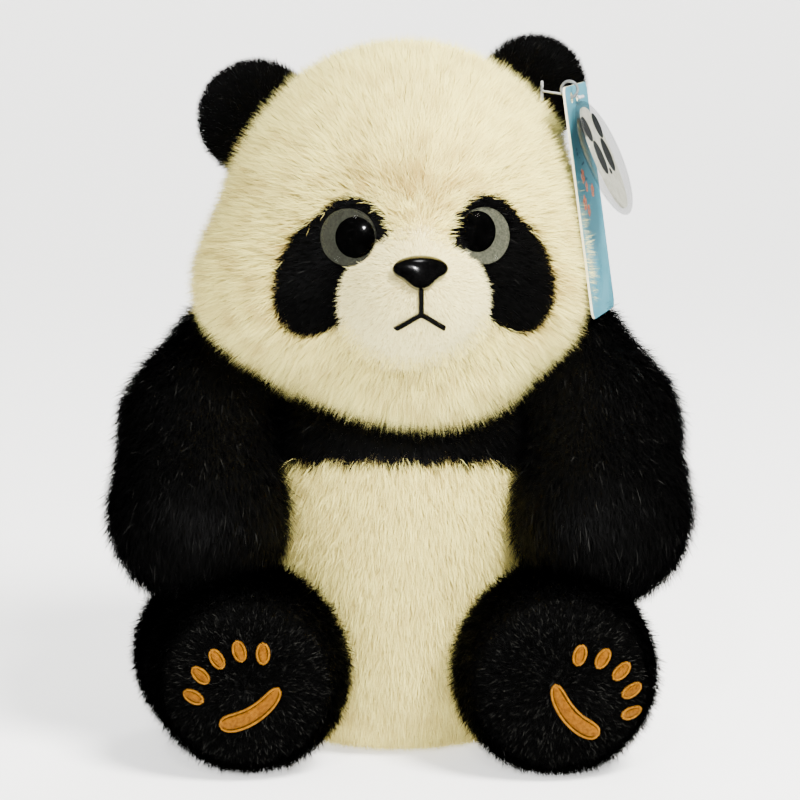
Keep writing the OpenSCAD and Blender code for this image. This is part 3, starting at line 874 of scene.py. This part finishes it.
def arm(side):
    rng = np.random.default_rng(20 + SIDES[side])
    shoulder, paw = pivot(f"arm_{side}_swing"), paw_of(side)
    skin = star(f"arm_{side}_fabric", (shoulder + paw) / 2, arm_field(side), 6)
    body = f"arm_{side}"
    ground = clad(skin, [f"arm_{side}_skin", f"arm_{side}_stuffing"], body, "black_plush",
                  BLACK_BACKING)

    def hidden(p):
        return (torso_field(p) < 3) | (head_gap(p) < 5)

    def comb(p, n):
        run = unit(paw - shoulder)
        return np.broadcast_to(run + np.array([0, 0, -0.35]), p.shape)

    coat(f"arm_{side}_fur", ground, body, "black_plush", BLACK_FUR, 4.6,
         lambda p, n: ~hidden(p) | (rng.random(len(p)) < 0.3), comb, rng,
         length=lambda p, n: np.where(hidden(p), 4.0, 8.6), lift=0.42, width=0.24,
         bend=0.45, sag=0.25, clump=0.42, pitch=3.8, soft=0.45, glints=0.012)


SOLE_SLOPE = 0.62       # cosine from the sole's facing within which the pile is short


def leg(side):
    rng = np.random.default_rng(30 + SIDES[side])
    hip, aim, right, up, length = leg_frame(side)
    body = f"leg_{side}"
    skin = star(f"leg_{side}_fabric", hip + aim * length * 0.45, leg_field(side), 6)
    ground = clad(skin, [f"leg_{side}_skin", f"leg_{side}_stuffing", f"leg_{side}_sole"], body,
                  "black_plush", BLACK_BACKING)
    pads = pad_outlines(side)

    def on_sole(p, n):
        return n @ aim > SOLE_SLOPE

    def clear_of_pads(p):
        q = p - hip
        x, y = q @ right, q @ up
        free = np.ones(len(p), bool)
        for pad in pads:
            free &= pad_distance(pad, x, y) > 0.1
        return free

    def comb(p, n):
        return np.broadcast_to(aim + np.array([0, 0, -0.5]), p.shape)

    def sole_comb(p, n):
        q = p - hip
        return q - (q @ aim)[:, None] * aim

    coat(f"leg_{side}_fur", ground, body, "black_plush", BLACK_FUR, 4.6,
         lambda p, n: ~on_sole(p, n) & (torso_field(p) > -4), comb, rng,
         length=lambda p, n: 7.0 - 3.0 * np.clip((n @ aim - 0.1) / 0.5, 0, 1), lift=0.45,
         width=0.24, bend=0.35, sag=0.1, clump=0.36, pitch=3.4, soft=0.45, glints=0.008)
    coat(f"sole_{side}_fur", ground, body, "short_black_plush", SHORT_BLACK, 8.5,
         lambda p, n: on_sole(p, n) & clear_of_pads(p), sole_comb, rng,
         length=2.8, lift=0.62, width=0.2, bend=0.3, sag=0.1, clump=0.3, pitch=2.2, soft=0.4, glints=0.04)
    embroider(side, ground, pads)


def ear(side):
    rng = np.random.default_rng(40 + SIDES[side])
    centre, out, _, _ = ear_frame(side)
    skin = star(f"ear_{side}_fabric", centre, ear_field(side), 6)
    body = f"ear_{side}"
    ground = clad(skin, [f"ear_{side}_skin", f"ear_{side}_stuffing"], body, "black_plush",
                  BLACK_BACKING)
    coat(f"ear_{side}_fur", ground, body, "black_plush", SHORT_BLACK, 8.5,
         lambda p, n: np.linalg.norm(p - HEAD, axis=1) > HEAD_R - 2,
         lambda p, n: (p - centre) * 0.4 + out * 8, rng, length=4.0, lift=0.5, width=0.2, bend=0.3,
         sag=0.05, clump=0.3, pitch=2.6, soft=0.45, glints=0.004)


def tail():
    rng = np.random.default_rng(50)
    low, high = box_mm("tail_skin")
    skin = star("tail_fabric", np.array([0, low[1] + 3, (low[2] + high[2]) / 2]), tail_field, 5)
    ground = clad(skin, ["tail_skin", "tail_stuffing"], "torso", "cream_plush", CREAM_BACKING)
    coat("tail_fur", ground, "torso", "cream_plush", CREAM_FUR, 5,
         lambda p, n: torso_field(p) > -1, lambda p, n: np.broadcast_to([0, 0.4, -1.0], p.shape), rng,
         length=7.0, lift=0.5, width=0.24, bend=0.4, sag=0.2, clump=0.3)


# ---------- embroidery ----------

THREAD = 0.42           # pitch of the satin stitches
EDGE_PITCH = 0.4        # pitch of the cord's stitches
EDGE_REACH = 0.42       # how far a cord's stitch reaches to either side of the pad's edge
PAD_LIFT = 1.7          # height of the embroidery over the fabric, level with the flattened pile
PAD_TURN = {"left": math.radians(33), "right": math.radians(50)}
PAD_SHIFT = {"left": 2.7, "right": 10.0}
PAD_RISE = {"left": 1.0, "right": -1.5}
GOLD = mottled("gold_thread", (0.12, 0.040, 0.0008), (0.21, 0.078, 0.0016), 900, 0.55,
               Specular_IOR_Level=0.12)
GOLD_EDGE = mottled("gold_edge_thread", (0.18, 0.07, 0.003), (0.30, 0.125, 0.006), 900, 0.55,
                    Specular_IOR_Level=0.12)


def pad_outlines(side):
    """Each pad as the points of its middle line and its half width at each, in the sole's plane."""
    toe_arc_r, toe_step, toe_drop, toe_half_wide, toe_half_long = 17, 26, 5.5, 1.9, 3.2
    heel_arc_r, heel_arc_y, heel_half_span, heel_narrow, heel_widens = 24, 14.0, 28, 2.1, 1.1
    pads = []
    for k in range(5):
        a = math.radians((k - 2) * toe_step)
        at = np.array([math.sin(a), math.cos(a)]) * toe_arc_r + np.array([0, -toe_drop])
        way = np.array([math.sin(a * 0.6), math.cos(a * 0.6)])
        t = np.linspace(-1, 1, 15)
        half = toe_half_wide * np.sqrt(np.maximum(1 - t ** 2, 0.0))
        pads.append((at + way * (t * toe_half_long)[:, None], half))
    t = np.linspace(-1, 1, 41)
    a = np.radians(t * heel_half_span)
    line = np.stack([np.sin(a), -np.cos(a)], axis=1) * heel_arc_r + np.array([0, heel_arc_y])
    half = (heel_narrow + heel_widens * (1 + t) / 2) * np.maximum(1 - np.abs(t) ** 5, 0) ** 0.5
    pads.append((line, half))
    return [(on_sole_plane(line, side), half) for line, half in pads]


def on_sole_plane(line, side):
    """The pattern's points turned, shifted and mirrored to their place on one sole."""
    c, s = math.cos(PAD_TURN[side]), math.sin(PAD_TURN[side])
    x = line[:, 0] * c + line[:, 1] * s + PAD_SHIFT[side]
    y = -line[:, 0] * s + line[:, 1] * c + PAD_RISE[side]
    return np.stack([x * SIDES[side], y], axis=1)


def pad_distance(pad, x, y):
    """Distance outside a pad's edge, negative inside."""
    line, half = pad
    best = np.full(len(x), 1e9)
    for (px, py), h in zip(line, half):
        best = np.minimum(best, np.hypot(x - px, y - py) - h)
    return best


def tube(bm, points, radius, normals, sides=6, flatten=1.0):
    """A closed thread through points; flatten squashes it along the normals."""
    points = [Vector(p) for p in points]
    rings = []
    count = len(points)
    for k, at in enumerate(points):
        run = (points[min(k + 1, count - 1)] - points[max(k - 1, 0)]).normalized()
        side = run.cross(Vector(normals[k])).normalized()
        up = side.cross(run).normalized()
        share = abs(2 * k / (count - 1) - 1)
        r = radius * (1 - share ** 6 * 0.6)
        rings.append([bm.verts.new(at + side * (math.cos(a) * r) + up * (math.sin(a) * r * flatten))
                      for a in (2 * math.pi * i / sides for i in range(sides))])
    for a, b in zip(rings, rings[1:]):
        for i in range(sides):
            bm.faces.new((a[i], a[(i + 1) % sides], b[(i + 1) % sides], b[i]))
    bm.faces.new(rings[0][::-1])
    bm.faces.new(rings[-1])


def embroider(side, ground, pads):
    """Satin stitches across each pad, and a lighter cord of slanted stitches round its edge."""
    hip, aim, right, up, length = leg_frame(side)
    tree = ground.tree()

    def on_sole(x, y, lift):
        start = hip + right * x + up * y + aim * (length + 20)
        hit, normal, _, _ = tree.ray_cast(Vector(start), Vector(-aim))
        if hit is None:
            return None, None
        normal = normal if normal.dot(Vector(aim)) > 0 else -normal
        return hit + normal * lift, normal

    for label, group in (("toe_pads", pads[:5]), ("heel_pad", pads[5:])):
        fill, edge = bmesh.new(), bmesh.new()
        for line, half in group:
            stitch_pad(fill, edge, line, half, on_sole)
        body, name = f"leg_{side}", f"{label}_{side}"
        attach(object_from(fill, name), GOLD, body, "gold_thread", f"{body}_{label}")
        attach(object_from(edge, f"{name}_edge"), GOLD_EDGE, body, "gold_thread")


def stitch_pad(fill, edge, line, half, on_sole):
    run = np.gradient(line, axis=0)
    steps = lengths(line)
    count = max(int(steps[-1] / THREAD), 2)
    for at in (np.arange(count) + 0.5) / count * steps[-1]:
        x, y = read_off(at, steps, line)
        h = np.interp(at, steps, half) - 0.25
        if h < 0.3:
            continue
        way = unit(read_off(at, steps, run))
        across = unit(np.array([-way[1], way[0]]) + way * 0.25)
        row = []
        for t in np.linspace(-1, 1, 7):
            rise = PAD_LIFT + 0.75 * math.sqrt(max(1 - t * t, 0)) - 0.5
            found, normal = on_sole(x + across[0] * t * h, y + across[1] * t * h, rise)
            if found is not None:
                row.append((found * MM, normal))
        if len(row) > 3:
            tube(fill, [r[0] for r in row], THREAD * 0.56 * MM, [r[1] for r in row], flatten=0.8)
    outline = edge_loop(line, half)
    for a, b in zip(outline, np.roll(outline, -1, axis=0)):
        way = unit(b - a)
        out = np.array([way[1], -way[0]])
        ends = [a - out * EDGE_REACH - way * 0.2, a + out * EDGE_REACH + way * 0.2]
        row = []
        for t in np.linspace(0, 1, 4):
            q = ends[0] * (1 - t) + ends[1] * t
            found, normal = on_sole(q[0], q[1], PAD_LIFT + 0.35 * math.sin(math.pi * t) - 0.2)
            if found is not None:
                row.append((found * MM, normal))
        if len(row) > 2:
            tube(edge, [r[0] for r in row], 0.2 * MM, [r[1] for r in row])


def edge_loop(line, half):
    """Points along a pad's edge, one to each stitch."""
    run = unit(np.gradient(line, axis=0))
    side = np.stack([-run[:, 1], run[:, 0]], axis=1)
    loop = np.concatenate([line + side * half[:, None], (line - side * half[:, None])[::-1]])
    closed = np.concatenate([loop, loop[:1]])
    steps = lengths(closed)
    return read_off(np.arange(0, steps[-1], EDGE_PITCH), steps, closed)


# ---------- face ----------

def disc(bm, centre, axes, radius, dome, rings=10, sides=64, thick=0.0):
    """A closed round plate whose face domes up by dome."""
    out, level, rise = axes
    top = []
    ball_r = (radius ** 2 + dome ** 2) / (2 * dome) if dome else 0
    for k in range(1, rings + 1):
        r = radius * math.sin(math.pi / 2 * k / rings)
        h = math.sqrt(max(ball_r ** 2 - r ** 2, 0)) - (ball_r - dome) if dome else 0
        top.append([bm.verts.new((centre + level * x + rise * y + out * h) * MM)
                    for x, y in ring_points(0, 0, r, sides)])
    pole = bm.verts.new((centre + out * dome) * MM)
    for i in range(sides):
        bm.faces.new((pole, top[0][i], top[0][(i + 1) % sides]))
    for a, b in zip(top, top[1:]):
        for i in range(sides):
            bm.faces.new((a[i], b[i], b[(i + 1) % sides], a[(i + 1) % sides]))
    low = [bm.verts.new(v.co - Vector(out) * thick * MM) for v in top[-1]]
    for i in range(sides):
        bm.faces.new((top[-1][i], low[i], low[(i + 1) % sides], top[-1][(i + 1) % sides]))
    bm.faces.new(low)


# Lit and shaded copies of one grey: the right eye's disc is painted lit, the left one painted in shade, away
# from the key light.
IRIS = {"left": ((0.016, 0.017, 0.012), (0.042, 0.044, 0.031)),
        "right": ((0.045, 0.048, 0.033), (0.11, 0.115, 0.08))}
PUPIL_RISE = {"left": 0.0, "right": 1.5}
PUPIL_INWARD = 2.6
EYE_SEAT = 2.2          # depth of the printed disc behind the lens's middle


def eyes():
    black = mottled("pupil_black", grey(0.0004), grey(0.0012), 300, 0.1)
    clear, _, _ = new_material("eye_dome", (0, 0, 0), 0.03, Alpha=0.12)
    for side, sign in SIDES.items():
        out = unit(EYES[side] - HEAD)
        level, rise = right_and_up(out)
        seat = EYES[side] - out * EYE_SEAT
        dark, pale = IRIS[side]
        iris = mottled(f"eye_back_{side}", dark, pale, 1300, 0.3)
        pupil = seat + level * (-sign * PUPIL_INWARD) + rise * PUPIL_RISE[side] + out * 0.05
        pieces = (
            (f"eye_back_{side}", seat, 9.4, 0, 2.0, iris, f"eye_cup_{side}", "eye_back_plastic"),
            (f"eye_pupil_{side}_dome", pupil, 6.8, 1.6, 0.1, black, f"eye_pupil_{side}", "pupil_black"),
            (f"eye_dome_{side}", seat + out * 0.1, 9.5, 5.0, 0.05, clear, f"eye_lens_{side}", "clear_dome"),
        )
        for name, at, radius, dome, thick, material, node, slot in pieces:
            bm = bmesh.new()
            disc(bm, at, (out, level, rise), radius, dome, rings=16, thick=thick)
            attach(object_from(bm, name, smooth=dome > 0), material, "head", slot, node)


def nose():
    """Glossy rounded triangle, wider at the top."""
    out = unit(middle("nose") - from_head(MUZZLE))
    level = turn_z([1, 0, 0], HEAD_YAW)
    out = unit(out - level * (out @ level))
    rise = np.cross(level, out)
    rise = rise if rise[2] > 0 else -rise
    at = from_head(MUZZLE) + out * (MUZZLE_R + 0.6)

    def field(p):
        q = p - at
        x, y, z = q @ level, q @ rise, q @ out
        body = ball(np.stack([x, y - 1.2, z], axis=1), np.zeros(3), [9.2, 4.5, 4.6])
        chin = ball(np.stack([x, y + 2.4, z], axis=1), np.zeros(3), [4.2, 3.6, 3.8])
        return blend_in(body, chin, 3.0)
    mat = mottled("nose_plastic", grey(0.0006), grey(0.0015), 700, 0.2, bumpy=0.12,
                  Coat_Weight=0.4)
    attach(star("nose_button", at, field, 5), mat, "head", "nose_plastic", "nose")


MOUTH_FORK = 29         # angles down the muzzle from the nose's middle
MOUTH_CORNER = 42
MOUTH_SIDE = 19         # angle from the fork out to each corner


def mouth(ground):
    """Satin stitches across a line that drops from the nose and forks to both sides."""
    tree = ground.tree()
    centre = from_head(MUZZLE)
    bm = bmesh.new()

    def at(down, side):
        fall = math.radians(down - 20)
        swing = math.radians(side)
        level = math.cos(swing)
        way = turn_z([math.sin(swing), -math.cos(fall) * level, -math.sin(fall) * level], HEAD_YAW)
        hit = tree.ray_cast(Vector(centre), Vector(way))[0]
        return np.array(hit), way

    routes = [[at(d, 0) for d in np.linspace(10, MOUTH_FORK, 24)]]
    for sign in (-1, 1):
        routes.append([at(MOUTH_FORK + (MOUTH_CORNER - MOUTH_FORK) * k ** 1.15, sign * MOUTH_SIDE * k)
                       for k in np.linspace(0, 1, 24)])
    for route in routes:
        p = np.array([r[0] for r in route])
        n = np.array([r[1] for r in route])
        steps = lengths(p)
        for s in np.arange(0.15, steps[-1] - 0.3, 0.36):
            spot = read_off(s, steps, p)
            up = unit(read_off(s, steps, n))
            ahead = unit(read_off(s + 0.3, steps, p) - spot)
            across = unit(np.cross(ahead, up) + ahead * 0.35)
            row = [(spot + across * (t * 1.0) + up * (1.7 + 0.45 * math.sqrt(1 - t * t * 0.98))) * MM
                   for t in np.linspace(-1, 1, 5)]
            tube(bm, row, 0.24 * MM, [up] * 5)
    obj = object_from(bm, "mouth_thread")
    thread = mottled("black_thread", grey(0.0008), grey(0.003), 1200, 0.6,
                     Specular_IOR_Level=0.15)
    attach(obj, thread, "head", "black_thread", "mouth_stitching")


# ---------- hang tag ----------

CARD_YAW = math.radians(-14.5)
CARD_LEAN = math.radians(8)
CARD_W, CARD_H, CARD_T = 38.0, 79.0, 0.8
HOLE_DROP = 4.0
HOLE_R = 1.9
CHARM_Y = -9.0
CHARM_LEAN = math.radians(16)


def card_axes(lean=0.0):
    """Outward, backward and upward directions of the card, or of the charm that leans further."""
    tip = CARD_LEAN + lean
    out = turn_z([math.cos(tip), 0, math.sin(tip)], CARD_YAW)
    back = turn_z([0, 1, 0], CARD_YAW)
    return out, back, np.cross(out, back)


def flat_place(origin, out, back, up):
    """Takes a point of a flat drawing, and a height over it, to its place in metres."""
    return lambda y, z, height: (origin + back * y + up * z + out * height) * MM


def flat_plate(bm, outline, place, low, high, holes=()):
    """A closed plate of the outline between two heights; place puts a flat point at a height."""
    layers = []
    for height in (low, high):
        layer = [[bm.verts.new(place(x, y, height)) for x, y in ring] for ring in [outline] + list(holes)]
        edges = [bm.edges.new((a, b)) for ring in layer for a, b in zip(ring, ring[1:] + ring[:1])]
        bmesh.ops.triangle_fill(bm, use_beauty=True, edges=edges)
        layers.append(layer)
    for under, over in zip(*layers):
        for k in range(len(under)):
            m = (k + 1) % len(under)
            bm.faces.new((under[k], under[m], over[m], over[k]))


def card():
    out, back, up = card_axes()
    place = flat_place(pivot("tag_swing"), out, back, up)
    corner = 3.0
    outline = []
    for cy, cz, start in ((1, 0, 0), (-1, 0, 90), (-1, 1, 180), (1, 1, 270)):
        y = cy * (CARD_W / 2 - corner)
        z = HOLE_DROP - corner if cz == 0 else HOLE_DROP - CARD_H + corner
        outline += [(y + corner * math.cos(a), z + corner * math.sin(a))
                    for a in (math.radians(start + 15 * k) for k in range(7))]
    holes = [ring_points(y, 0, HOLE_R) for y in (0, CHARM_Y)]
    bm = bmesh.new()
    flat_plate(bm, outline, place, -CARD_T / 2, CARD_T / 2, holes)
    obj = object_from(bm, "tag_board", smooth=False)
    blue = mottled("tag_print", (0.045, 0.19, 0.25), (0.075, 0.25, 0.32), 60, 0.35, rough_range=(0.3, 0.42))
    edge = mottled("tag_edge", (0.70, 0.66, 0.45), (0.85, 0.82, 0.60), 2500, 0.8)
    attach(obj, blue, "tag", "tag_board", "tag_card")
    obj.data.materials.append(edge)
    for face in obj.data.polygons:
        face.material_index = 0 if abs(face.normal.dot(Vector(out))) > 0.7 else 1
    flowers(place)


def flowers(place):
    """Printed flowers and small leaves on the card's outer face."""
    rng = np.random.default_rng(60)
    pink = mottled("flower_ink", (0.42, 0.08, 0.03), (0.65, 0.25, 0.14), 1500, 0.4)
    ink = mottled("leaf_ink", (0.01, 0.05, 0.10), (0.03, 0.10, 0.16), 1500, 0.4)
    petals, leaves = bmesh.new(), bmesh.new()
    face = CARD_T / 2
    for y, z, size in ((-7, -27, 3.0), (-3, -31, 2.2), (-9, -36, 3.2), (-4, -39, 2.5), (6, -33, 2.8)):
        turn = rng.uniform(0, 6)
        for k in range(5):
            a = turn + 2 * math.pi * k / 5
            spot = (y + math.cos(a) * size * 0.55, z + math.sin(a) * size * 0.55)
            flat_plate(petals, ring_points(*spot, size * 0.36, 10), place, face - 0.02, face + 0.04)
    for k in range(16):
        y, z = rng.uniform(-12, 4), rng.uniform(-30, -8)
        flat_plate(leaves, ring_points(y, z, rng.uniform(0.5, 1.3), 10, 0.5), place, face - 0.02, face + 0.03)
    for bm, name, mat in ((petals, "tag_flowers", pink), (leaves, "tag_leaves", ink)):
        attach(object_from(bm, name, smooth=False), mat, "tag", "tag_board")


def charm():
    at = pivot("charm_swing")
    out, back, up = card_axes(CHARM_LEAN)
    drop, half_w, half_h, half_t = 1.4, 17.0, 21.0, 5.0
    centre = at - up * (drop + half_h)
    place = flat_place(centre, out, back, up)

    def field(p):
        q = p - centre
        local = np.stack([q @ out, q @ back, q @ up], axis=1)
        return ball(local, np.zeros(3), [half_t, half_w, half_h])
    clear, _, _ = new_material("charm_clear", (0.03, 0.034, 0.034), 0.06, Alpha=0.34, Coat_Weight=0.8)
    attach(star("charm_shell_clear", centre, field, 5), clear, "charm", "charm_clear", "charm_shell")

    paper = mottled("charm_paper", (0.50, 0.50, 0.40), (0.66, 0.66, 0.54), 400, 0.5)
    ink = mottled("charm_ink", grey(0.004), grey(0.012), 1500, 0.4)
    bm = bmesh.new()
    print_w, print_h, half_sheet = 14.5, 18.5, 0.4
    flat_plate(bm, ring_points(0, 0, print_w, 48, print_h / print_w), place, -half_sheet, half_sheet)
    attach(object_from(bm, "charm_print_card", smooth=False), paper, "charm", "charm_print", "charm_insert")
    bm = bmesh.new()
    marks = ((-9, 11.0, 4.6, 1.0), (9, 11.0, 4.6, 1.0), (-6.3, 0.5, 4.9, 1.25), (6.3, 0.5, 4.9, 1.25),
             (0, -5.0, 1.7, 0.7))
    for side in (-1, 1):
        low, high = (0.38, 0.46) if side > 0 else (-0.46, -0.38)
        for y, z, r, tall in marks:
            flat_plate(bm, ring_points(y, z, r, 24, tall), place, low, high)
    attach(object_from(bm, "charm_print_marks", smooth=False), ink, "charm", "charm_print")


def fittings():
    """Finishes for the hard CAD pieces that keep their own shape."""
    washer = mottled("washer_plastic", (0.78, 0.78, 0.76), (0.86, 0.86, 0.84), 500, 0.45, bumpy=0.1)
    looks = {
        "eye_washers": washer,
        "nose_washer": washer,
        "tag_fastener": mottled("pin_plastic", (0.45, 0.47, 0.47), (0.60, 0.62, 0.62), 900, 0.25),
        "charm_ring": mottled("ring_plastic", (0.10, 0.11, 0.11), (0.18, 0.19, 0.19), 900, 0.3),
        "pellet_bag": mottled("pellet_cloth", (0.60, 0.60, 0.55), (0.72, 0.72, 0.68), 700, 0.85, bumpy=0.5),
    }
    for node, material in looks.items():
        obj = frame["nodes"][node]
        if not obj.material_slots:
            obj.data.materials.append(material)
        for held in obj.material_slots:
            held.material = material


camera()
studio()
mouth(head())
eyes()
nose()
neck()
torso()
for one_side in SIDES:
    arm(one_side)
    leg(one_side)
    ear(one_side)
tail()
card()
charm()
fittings()
